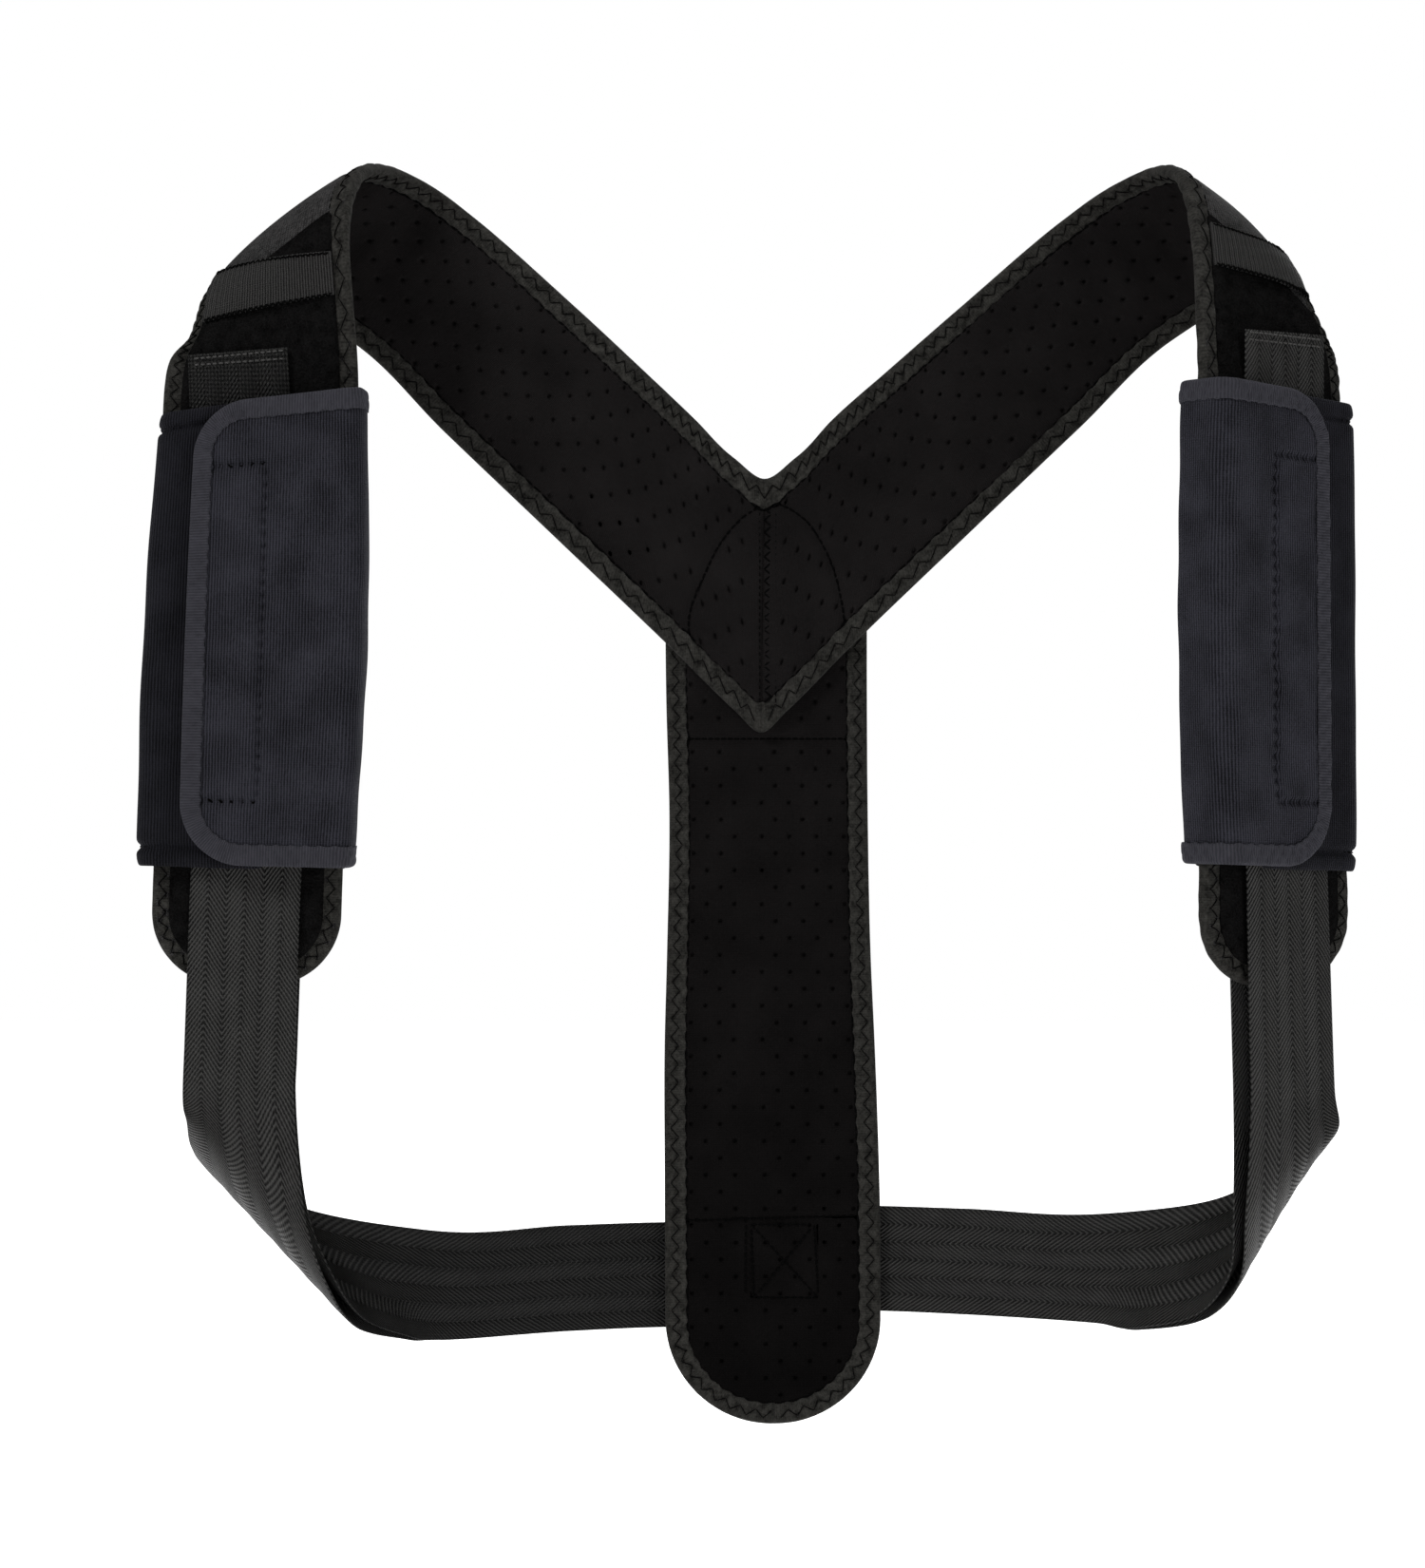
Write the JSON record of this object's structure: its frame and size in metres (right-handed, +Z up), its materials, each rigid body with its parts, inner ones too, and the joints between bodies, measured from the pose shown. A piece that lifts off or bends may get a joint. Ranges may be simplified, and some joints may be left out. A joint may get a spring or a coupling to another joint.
{
  "type": "back brace",
  "caption": "Posture brace: padded spine panel with two shoulder arms, looped waist straps with hook-and-loop tabs, and wrap-round armpit pads.",
  "frame": {"origin": "on the skin face of the spine panel, at the middle of its width, 167 mm above the panel's lower end", "axes": "+Z up as worn, +X to the wearer's left, -Y to the wearer's front"},
  "size_m": [0.4276, 0.1145, 0.4538],
  "materials": {
    "lining": "smooth perforated neoprene lining, matt black",
    "foam": "closed cell foam core, matt black",
    "shell": "knitted nylon outer face, charcoal black",
    "binding": "folded stretch binding tape, zigzag stitched",
    "webbing": "herringbone polyester webbing, slight sheen",
    "elastic": "ribbed woven elastic",
    "loop": "napped loop fleece, deep black",
    "hook": "moulded hook tape",
    "pad": "fine rib knit over foam, blue black",
    "pad_binding": "folded knit binding tape"
  },
  "bodies": {
    "harness": {"spine_lining_lower": "lining", "spine_lining_upper": "lining", "spine_foam": "foam", "spine_shell": "shell", "spine_binding": "binding", "strap_sleeve": "webbing", "right_arm_lining": "lining", "right_arm_foam": "foam", "right_arm_shell": "shell", "right_arm_binding": "binding", "right_keeper": "elastic", "right_strap_front": "webbing", "right_strap_rear": "webbing", "right_loop_patch": "loop", "right_strap_hook": "hook", "left_arm_lining": "lining", "left_arm_foam": "foam", "left_arm_shell": "shell", "left_arm_binding": "binding", "left_keeper": "elastic", "left_strap_front": "webbing", "left_strap_rear": "webbing", "left_loop_patch": "loop", "left_strap_hook": "hook"},
    "right_pad": {"right_pad_wrap": "pad", "right_pad_loop": "loop"},
    "right_flap": {"right_pad_flap": "pad", "right_pad_hook": "hook", "right_pad_binding": "pad_binding"},
    "right_tab": {"right_strap_tab": "webbing", "right_tab_hook": "hook"},
    "left_pad": {"left_pad_wrap": "pad", "left_pad_loop": "loop"},
    "left_flap": {"left_pad_flap": "pad", "left_pad_hook": "hook", "left_pad_binding": "pad_binding"},
    "left_tab": {"left_strap_tab": "webbing", "left_tab_hook": "hook"}
  },
  "joints": [
    {"name": "right_pad_slide", "type": "slide", "parent": "harness", "child": "right_pad", "axis": [-0.0279, 0, -0.9996], "range_m": [0, 0.025]},
    {"name": "right_flap_hinge", "type": "hinge", "parent": "right_pad", "child": "right_flap", "pos_m": [-0.13796, -0.0815, 0.11792], "axis": [0.0279, 0, 0.9996], "range_deg": [0, 140]},
    {"name": "right_tab_peel", "type": "hinge", "parent": "harness", "child": "right_tab", "pos_m": [-0.17572, -0.0753, 0.2021], "axis": [0.9996, 0, -0.0279], "range_deg": [0, 70]},
    {"name": "left_pad_slide", "type": "slide", "parent": "harness", "child": "left_pad", "axis": [0.007, 0.0053, -1], "range_m": [0, 0.025]},
    {"name": "left_flap_hinge", "type": "hinge", "parent": "left_pad", "child": "left_flap", "pos_m": [0.15067, -0.10085, 0.11868], "axis": [0.007, 0.0053, -1], "range_deg": [0, 140]},
    {"name": "left_tab_peel", "type": "hinge", "parent": "harness", "child": "left_tab", "pos_m": [0.17575, -0.07419, 0.2021], "axis": [0.7986, 0.6018, 0.0087], "range_deg": [0, 70]}
  ]
}
